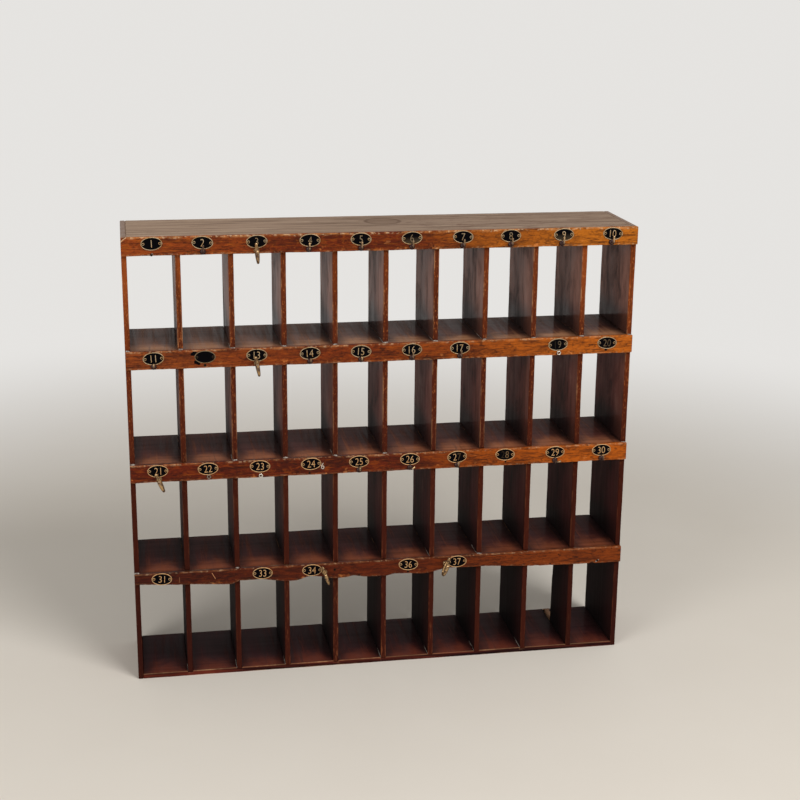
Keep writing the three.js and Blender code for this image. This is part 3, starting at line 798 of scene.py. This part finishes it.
plate_upper = plate_metal("plate_pale_brass", (200, 176, 142), (160, 122, 76))
plate_lower = plate_metal("plate_warm_brass", (222, 182, 134), (186, 138, 90))
BLANK = (12,)
HAZED = {6: 0.12, 9: 0.10}
RUBBED_OFF = {3: (0.5, 0.5), 4: (0.5, 0.5), 5: (0.6, 0.6), 6: (0.4, 0.4), 7: (0.6, 0.6), 8: (0.5, 0.5),
              19: (0.05, 0.3), 20: (0.3, 0.2), 27: (0.9, 0.15), 28: (0.05, 0.3)}
MISSING = (18, 32, 35, 38, 39, 40)
PLATE_DROP = (11.5, 12.5, 11.4, 10.8)
PLATE_ASIDE = {1: 1.7, 2: -2.9, 3: -0.7, 4: 0.7, 5: -0.7, 6: -1.1, 8: -4.1, 9: 2.4, 10: 2.7, 11: -1.9,
               12: -3.5, 13: -3.8, 14: -0.6, 16: 1.3, 17: -1.5, 19: -0.5, 20: 1.6, 21: -1.5, 22: -3.5,
               23: -1.5, 25: -3.2, 27: -2.6, 28: -2.7, 29: 2.1, 30: 1, 31: -1.2, 34: 0.5, 36: -0.5, 37: 1.5}
TILT = math.radians(3.0)
for number in range(1, 41):
    if number in MISSING:
        continue
    row = (number - 1) // 10
    points, faces, gilt = plate_surface()
    gilt = np.maximum(gilt, HAZED.get(number, 0) * np.clip(0.2 - points[:, 1] / HALF_HIGH, 0, 0.8))
    kept = 0.1 if number in BLANK else 1
    parts = [(points, faces, gilt * (0.4 + 0.6 * kept))]
    for aside in (-BOSS_ASIDE, BOSS_ASIDE):
        parts.append((*dome(aside, BOSS_RADIUS, PLATE_FIELD * 0.3, BOSS_RISE, 20, 5), 0.75 * kept))
        parts.append((*dome(aside, PIN_RADIUS, PLATE_FIELD, PIN_RISE, 12, 4), 0.02))
    if number not in BLANK:
        points, faces = numeral(str(number), FIGURE_SIZE, FIGURE_THIN)
        left, right = RUBBED_OFF.get(number, (1, 1))
        parts.append((points, faces, np.where(points[:, 0] < 0, left, right)))
    points, faces, marks = joined(parts)
    x, z = at_hole(number, PLATE_ASIDE.get(number, 0), PLATE_DROP[row])
    placed = facing(points, x, z, TILT * math.sin(number * 2.39))
    metal = plate_upper if row < 2 else plate_lower
    put_piece(f"plate_{number:02d}", (placed, faces, marks), metal, smooth=True)


# Hooks: brass wire hooks and eyes, each on a screw that goes into its rail below the plate.
# Five are long, with an arm up and a deep bend down, and have turned on their screws; the short
# cup hooks have dark domed collars, and three small eyes stand on plain stems.

WIRE_ROUND, TURNED_ROUND, RING_ROUND = 14, 28, 32
SLIM_REACH, WIRE_TIP = 0.007, 0.12
ARM_WIRE, BEND_WIRE, CUP_WIRE = 0.0026, 0.0031, 0.0014
EYE_OUT, EYE_ACROSS, EYE_WIRE = 0.002, 0.0029, 0.001


def smooth_path(points, steps):
    """A path through the given points: each stretch is the cubic that leaves and enters along the line
    between its neighbours."""
    knots = np.concatenate([2 * points[:1] - points[1:2], points, 2 * points[-1:] - points[-2:-1]])
    place = np.linspace(0, len(points) - 1, steps)
    span = np.minimum(place.astype(int), len(points) - 2)
    t = (place - span)[:, None]
    a, b, c, d = (knots[span + step] for step in range(4))
    bent = (2 * a - 5 * b + 4 * c - d) * t ** 2 + (3 * b - a - 3 * c + d) * t ** 3
    return 0.5 * (2 * b + (c - a) * t + bent)


def wire_surface(points, radius, steps=48, swell=1.25, root=1.0, spread=1.6, slim=0.0):
    """A round wire swept along a path in the upright plane: circles across the path, thicker by root at the
    first point, slimmer in the lowest part, swollen over a spread to a bead at the last point and closed
    there by shrinking as a half circle."""
    path = smooth_path(points, steps)
    along = np.gradient(path, axis=0)
    along /= np.linalg.norm(along, axis=1)[:, None]
    run = np.concatenate([[0], np.cumsum(np.linalg.norm(np.diff(path, axis=0), axis=1))])
    bead = radius * swell
    size = radius + (bead - radius) * np.exp(-((run - run[-1]) / (spread * bead)) ** 2)
    size = size + radius * (root - 1) * np.exp(-(run / (4 * radius)) ** 2)
    size = size * (1 - slim * np.exp(-((path[:, Z] - path[:, Z].min()) / SLIM_REACH) ** 2))
    lift = np.linspace(0, np.pi / 2, 5)[1:]
    tail = path[-1] + along[-1] * (bead * np.sin(lift))[:, None]
    path = np.concatenate([path, tail])
    along = np.concatenate([along, np.repeat(along[-1:], 4, 0)])
    size = np.concatenate([size, bead * np.maximum(np.cos(lift), WIRE_TIP)])
    size[0] = radius * WIRE_TIP
    aside = np.array([1.0, 0, 0])
    up = np.cross(along, aside)
    turn = circle(WIRE_ROUND)[None, :, None]
    ring = np.cos(turn) * aside + np.sin(turn) * up[:, None, :]
    grid = path[:, None, :] + ring * size[:, None, None]
    return closed_grid(*np.moveaxis(grid, -1, 0))


def turned_surface(profile):
    """A body of revolution about the screw: radius and distance out of the rail, carried round a circle."""
    radius, out = profile.T[:, :, None]
    turn = circle(TURNED_ROUND)
    return closed_grid(radius * np.cos(turn), -out, radius * np.sin(turn))


def hook_metal(name, bright, dull, amount, gloss):
    """Old brass: bright where rubbed, with dull brown tarnish in clouds and small dark pits; parts with a low
    gilt mark, such as the collars, stay dark."""
    material, place = new_material(name)
    gilt = place.mark("gilt")
    cloud = place.noise((1, 1, 1), 190.0, 4, 0.6)
    pits = place.noise((1, 1, 1), 1100.0, 2)
    tarnish = cloud.step(0.62 - amount * 0.35, 0.72 - amount * 0.2)
    tarnish = tarnish.math("MAXIMUM", 1 - gilt)
    skin = tarnish.mix(bright, dull)
    skin = skin.stain(pits, 0.58, 0.70, (40, 30, 22), 0.6)
    looks = {"Base Color": skin, "Roughness": 0.20 - 0.04 * tarnish,
             "Metallic": 0.92 - 0.82 * tarnish, "Specular IOR Level": gloss}
    return finished(material, looks, pits, 0.15, 0.0002)


long_brass = hook_metal("long_hook_brass", (184, 150, 106), (80, 54, 34), 0.5, 0.5)
cup_brass = hook_metal("cup_hook_brass", (196, 164, 122), (54, 32, 29), 0.35, 0.2)
eye_metal = hook_metal("screw_eye_metal", (206, 198, 186), (92, 78, 64), 0.3, 0.5)
COLLAR = np.array([(0.0002, -0.002), (0.0012, -0.002), (0.0012, 0), (0.0050, 0), (0.0052, 0.0004),
                   (0.0052, 0.0012), (0.0049, 0.0022), (0.0044, 0.0030), (0.0036, 0.0038), (0.0024, 0.0044),
                   (0.0002, 0.0046)])
STEM = np.array([(0.0002, -0.002), (0.0012, -0.002), (0.0012, 0.0032), (0.0002, 0.0034)])
SLANT = math.sqrt(0.5)


def hook_points(pairs):
    """Points of a hook's wire from how far out of the rail and how far up from the screw each is."""
    pairs = np.asarray(pairs, float) / 1000
    return np.stack([pairs[:, 0] * 0, -pairs[:, 0], pairs[:, 1]], 1)


LONG_UP = hook_points([(2, 0), (5.4, 0.4), (6.2, 2.6), (7, 6.25), (10, 12.5)])
LONG_DOWN = hook_points([(2, 0), (5.4, -0.8), (6, -3), (6, -12.5), (13 - 6.6 * SLANT, -12.5 - 6.4 * SLANT),
                         (13, -18.9), (13 + 6.4 * SLANT, -12.5 - 6.4 * SLANT), (19.4, -12.5), (19.3, 1.0)])


def cup_wire(rise):
    return hook_points([(2.3, 0), (5, -0.5), (9.5, -1), (9.5 + 4.5 * SLANT, 3.5 - 4.5 * SLANT), (14, 3.5),
                        (14, rise)])


def ring_surface(out, across, wire):
    """A closed ring facing forward, hung below the screw: a circle of wire carried round a circle."""
    turn = circle(RING_ROUND)[:, None]
    spin = circle(WIRE_ROUND)
    reach = across + wire * np.cos(spin)
    away = wire * np.sin(spin) - out
    return closed_grid(reach * np.cos(turn), away, reach * np.sin(turn) - across, False)


def hook_parts(kind, rise, rubbed):
    """The turned foot and the wires of a hook or an eye, each with its gilt; wires are dark at their bend."""
    if kind == "long":
        arm = wire_surface(LONG_UP, ARM_WIRE, 24, 1.0, 1.45)
        bend, faces = wire_surface(LONG_DOWN, BEND_WIRE, 56, 1.12, 1.15, 3.2, 0.28)
        bright = np.clip((bend[:, Z] + 0.0215) / 0.008, 0.1, 1)
        return [(*turned_surface(COLLAR), 0.7), (*arm, 1), (bend, faces, bright)]
    if kind == "cup":
        wire, faces = wire_surface(cup_wire(rise), CUP_WIRE, 36)
        bright = rubbed * np.clip((wire[:, Z] - 0.001) / 0.004, 0.1, 1)
        return [(*turned_surface(COLLAR), 0), (wire, faces, bright)]
    return [(*turned_surface(STEM), rubbed), (*ring_surface(EYE_OUT, EYE_ACROSS, EYE_WIRE), rubbed)]


HOOK_DROP = 26.6
SHORT, TALL = 7, 12
TALL_BELOW = (16, 17)
DULL_WIRES = {2: 0.1, 5: 0.5, 6: 0.3, 7: 0.3, 8: 0.35, 9: 0.7, 11: 0.6, 14: 0.35, 16: 0.3, 17: 0.2,
              22: 0.1, 25: 0.6, 27: 0.5, 30: 0.2}
HOOKS = {
    "long": ([(3, -1.5, HOOK_DROP, 4), (13, -4.4, HOOK_DROP, 9), (21, 0.4, HOOK_DROP, 23), (34, 23, 16, 19),
              (37, -20, 12.8, -22)], long_brass, "bright_brass", "long_hook"),
    "cup": ([(2, -2.4), (4, -1.5), (5, -0.7), (6, -1.1), (7, -0.4), (8, -4), (9, -0.6), (10, 0.7), (11, -1.9),
             (14, -0.6), (15, -0.2), (16, 1.3), (17, -1.5), (25, -3.2), (26, 0.2, HOOK_DROP, -55), (27, -2.6),
             (29, 2.1, HOOK_DROP, -75), (30, 1)], cup_brass, "aged_brass", "cup_hook"),
    "eye": ([(19, -1.1, 26.2, 60), (22, -2.3, 22.8, 0), (23, -0.3, 25.6, 0)], eye_metal, "bright_brass",
            "screw_eye"),
}
for kind, (places, metal, slot, stem) in HOOKS.items():
    for number, aside, *rest in places:
        drop, swing = rest or (HOOK_DROP, 0)
        x, z = at_hole(number, aside, drop)
        rise = TALL if number <= 10 or number in TALL_BELOW else SHORT
        points, faces, marks = joined(hook_parts(kind, rise, DULL_WIRES.get(number, 1)))
        u, v, w = points.T
        level, steep = math.cos(math.radians(swing)), math.sin(math.radians(swing))
        swung = np.stack([u * level - w * steep, v, u * steep + w * level], 1)
        placed = swung + (x, rail_front, z)
        node = f"{stem}_{number:02d}"
        body = node if kind == "long" else "rack"
        put_piece(node + "_wire", (placed, faces, marks), metal, [node], body, smooth=True)


# Screw holes: where a hook is lost its rail shows the dark bore with a crushed rim, and one stump of
# a shank is left. Beside plate 24 a small silvery numeral is pinned to the rail, and beside the blank
# plate some black lacquer has run onto the wood.

BORE = np.array([(0.0030, -0.001), (0.0030, 0), (0.0026, 0.0003), (0.0020, 0.0003), (0.0017, 0.0001),
                 (0.0004, 0.0001)])
STUMP = np.array([(0.0019, -0.001), (0.0021, 0.0020), (0.0016, 0.0042), (0.0005, 0.0046)])
DAB_ROUND, DAB_RINGS = 22, 5
RIM_GILT = np.repeat([0, 0.01, 0.06, 0.03, 0, 0], TURNED_ROUND)
OLD_HOLES = [(-0.3156, 0.5858, 0.8), (0.4012, 0.5879, 0.9), (-0.1366, 0.3811, 0.7), (0.2214, 0.3845, 0.6),
             (0.0436, 0.1812, 0.7), (-0.0470, 0.1798, 0.6), (0.4316, 0.2025, 0.35), (0.3286, 0.1965, 0.35),
             (0.4044, 0.1800, 0.8), (0.3131, 0.1793, 0.5), (-0.0919, 0.1933, 0.8)]


def dab(half, seed):
    """A pressed dab: a low dome on an oval foot whose edge wavers as three sines of the angle round it."""
    lift = np.linspace(0, np.pi / 2, DAB_RINGS + 1)[:-1, None]
    turn = circle(DAB_ROUND)
    edge = 1 + 0.20 * np.sin(2 * turn + seed) + 0.12 * np.sin(3 * turn + 2.3 * seed)
    edge = (edge + 0.07 * np.sin(7 * turn + seed)) * np.cos(lift)
    swell = np.sin(lift) * (1 + 0.25 * np.sin(3 * turn + seed))
    return closed_grid(half[0] * edge * np.cos(turn), half[1] * edge * np.sin(turn), half[2] * swell)


STUMP_PLACE = (-0.3999, rail_front, 0.7796)
LACQUER = [(-0.3335, 0.6070, (0.0056, 0.0042, 0.0004)), (-0.3285, 0.5915, (0.0046, 0.0052, 0.0004))]
bores = []
for x, z, size in OLD_HOLES:
    points, faces = turned_surface(BORE * (size, 1))
    bores.append((points + (x, rail_front, z), faces, RIM_GILT))
points, faces = turned_surface(STUMP)
bores.append((points + STUMP_PLACE, faces, 0.03))
for seed, (x, z, half) in enumerate(LACQUER, 1):
    points, faces = dab(half, seed)
    bores.append((facing(points, x, z), faces, 0))
put_piece("screw_holes", joined(bores), plate_lower)

LOOSE_SIZE = 0.0170
LOOSE_ASIDE, LOOSE_DROP = 20.6, 16.4
points, faces = numeral("6", LOOSE_SIZE, 0)
points = facing(points - (0, 0, PLATE_FIELD), *at_hole(24, LOOSE_ASIDE, LOOSE_DROP))
put_piece("loose_numeral", (points, faces, {"gilt": np.ones(len(points))}), eye_metal)


# Filler: dabs of white filler pressed into the gaps where the feet of the uprights meet the rails,
# and thin runs of it along the left foot of some dividers. It is dry, cracked and grey with dust.

DABS = {"shelf_high": {0: 1, 1: 1, 2: 0.7, 3: 1, 4: 1, 5: 1, 6: 1, 7: 0.8, 8: 0.5, 9: 0.8, 10: 0.5},
        "shelf_middle": {0: 1.1, 2: 0.9, 3: 1, 4: 1, 5: 0.9, 10: 0.5},
        "shelf_low": {0: 1, 2: 0.6, 7: 0.4},
        "bottom_board": {}}
RUNS = {"shelf_high": (2, 3, 4, 5, 6, 7), "shelf_middle": (2, 4), "shelf_low": (6, 7),
        "bottom_board": (1, 2, 3, 5, 6, 7, 8)}
RUN_SIZE, RUN_START = 0.0006, 0.0005
RUN_STATIONS, RUN_ROUND = 31, 8
upright_spans = [(left_low[X], left_high[X]), *divider_spans, (right_low[X], right_high[X])]


def run_surface(x, z, length, seed):
    """A thin run in an inner corner: a small circle whose radius wavers, carried along Y and tapered at
    its ends."""
    y = np.linspace(front_y + length, front_y + RUN_START, RUN_STATIONS)
    taper = np.sin(np.linspace(0.08, np.pi - 0.35, RUN_STATIONS)) ** 0.5
    radius = (RUN_SIZE * taper * np.clip(1 + 0.9 * waver(y, seed), 0.3, 2))[:, None]
    turn = circle(RUN_ROUND)
    return closed_grid(x + radius * np.cos(turn), y[:, None], z + radius * np.sin(turn))


def filler_skin(name):
    """Dry white filler, greyed in clouds and cracked with fine dark specks."""
    material, place = new_material(name)
    cloud = place.noise((1, 1, 1), 320.0, 4, 0.65)
    speck = place.noise((1, 1, 1), 1300.0, 2)
    skin = cloud.step(0.36, 0.62).mix((174, 164, 154), (112, 97, 88))
    skin = skin.stain(speck, 0.60, 0.70, (62, 48, 42), 0.6)
    return finished(material, {"Base Color": skin, "Roughness": 0.9}, cloud, 0.4, 0.0004)


SPECKS = [(-0.3985, 0.7815, (0.0011, 0.0013, 0.0030)), (0.4022, 0.1782, (0.0016, 0.0012, 0.0006)),
          (0.4068, 0.1812, (0.0012, 0.0010, 0.0006))]
DAB_DEEP, DAB_OUT, DAB_SUNK = 0.0034, 0.0008, 0.0002
lumps = []
for name, dabs in DABS.items():
    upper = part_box(name)[1][Z]
    for place, size in dabs.items():
        low, high = upright_spans[place]
        points, faces = dab((0.0036 + 0.0006 * size, DAB_DEEP, 0.0018 * size), place * 1.9 + upper * 7)
        points[:, X] = np.clip(points[:, X], (low - high) / 2, (high - low) / 2)
        lumps.append((points + ((low + high) / 2, front_y - DAB_OUT, upper - DAB_SUNK), faces, 0))
    for place in RUNS[name]:
        run = run_surface(upright_spans[place][0], upper, 0.030 + 0.002 * place, place * 1.3)
        lumps.append((*run, 0))
for x, z, half in SPECKS:
    points, faces = dab(half, x * 9)
    lumps.append((facing(points, x, z), faces, 0))
put_piece("filler", joined(lumps), filler_skin("dry_filler"), smooth=True)


# Stage: a plain pale floor under soft light, and the camera at the photograph's viewing angle.
# A broad lamp stands high at the front right, a weak one at the left, and the room is pale all round.

def area_lamp(name, where, towards, size, power):
    lamp = bpy.data.lights.new(name, "AREA")
    lamp.shape = "DISK"
    lamp.size = size
    lamp.energy = power
    holder = add_object(name, lamp)
    away = np.array(where) - np.array(towards)
    holder.location = where
    holder.rotation_mode = "QUATERNION"
    holder.rotation_quaternion = Vector(away).to_track_quat("Z", "Y")


def looked_at(tree):
    """1 where a ray comes from the camera, also by way of a mirror or through something clear."""
    rays = tree.nodes.new("ShaderNodeLightPath").outputs
    kinds = ("Camera", "Glossy", "Transmission")
    direct, mirrored, passed_on = (Socket(tree, rays[f"Is {kind} Ray"]) for kind in kinds)
    return direct.math("MAXIMUM", mirrored.math("MAXIMUM", passed_on))


area_lamp("key_lamp", (1.3, -2.4, 2.9), (0, 0, 0.5), 1.8, 82)
area_lamp("fill_lamp", (-2.4, -2.2, 1.9), (0, 0, 0.5), 2.0, 40)

ROOM = colour(238, 236, 233)
ROOM_LIGHT = 0.42
ROOM_SEEN = 0.92
floor_material, floor_place = new_material("floor_plain")
pale = floor_place.noise((1, 1, 1), 3.0).mix((222, 214, 202), (228, 221, 210))
finished(floor_material, {"Base Color": pale, "Roughness": 0.9})
floor_tree = floor_material.node_tree
away = floor_place.node("ShaderNodeVectorMath", {"operation": "LENGTH"}, {0: floor_place}, 1)
seen = looked_at(floor_tree)
plain = Socket(floor_tree, floor_tree.nodes["Principled BSDF"].outputs[0])
haze = seen.node("ShaderNodeEmission", None, {"Color": ROOM, "Strength": ROOM_SEEN})
veil = seen.node("ShaderNodeMixShader", None, {0: away.step(0.9, 2.6) * seen, 1: plain, 2: haze})
feed(floor_tree.nodes["Material Output"], {"Surface": veil})
FLOOR = 14
floor_mesh = bpy.data.meshes.new("floor")
floor_mesh.from_pydata([(-FLOOR, -FLOOR, 0), (FLOOR, -FLOOR, 0), (FLOOR, FLOOR, 0), (-FLOOR, FLOOR, 0)], [],
                       [(0, 1, 2, 3)])
floor_mesh.materials.append(floor_material)
add_object("floor", floor_mesh)

world = bpy.data.worlds.new("room")
world.use_nodes = True
bpy.context.scene.world = world
brightness = ROOM_LIGHT + (ROOM_SEEN - ROOM_LIGHT) * looked_at(world.node_tree)
feed(world.node_tree.nodes["Background"], {"Color": ROOM, "Strength": brightness})

camera = bpy.data.cameras.new("camera")
camera.sensor_width = 36.0
camera.lens = 68.098
camera.clip_end = 100
viewer = add_object("camera", camera)
viewer.matrix_world = Matrix((
    (0.983783, 0.040600, -0.174706, -0.44273),
    (-0.179083, 0.276624, -0.944144, -2.61585),
    (0.009995, 0.960120, 0.279409, 1.25785),
    (0, 0, 0, 1)))
bpy.context.scene.camera = viewer
bpy.context.scene.view_settings.view_transform = "Standard"
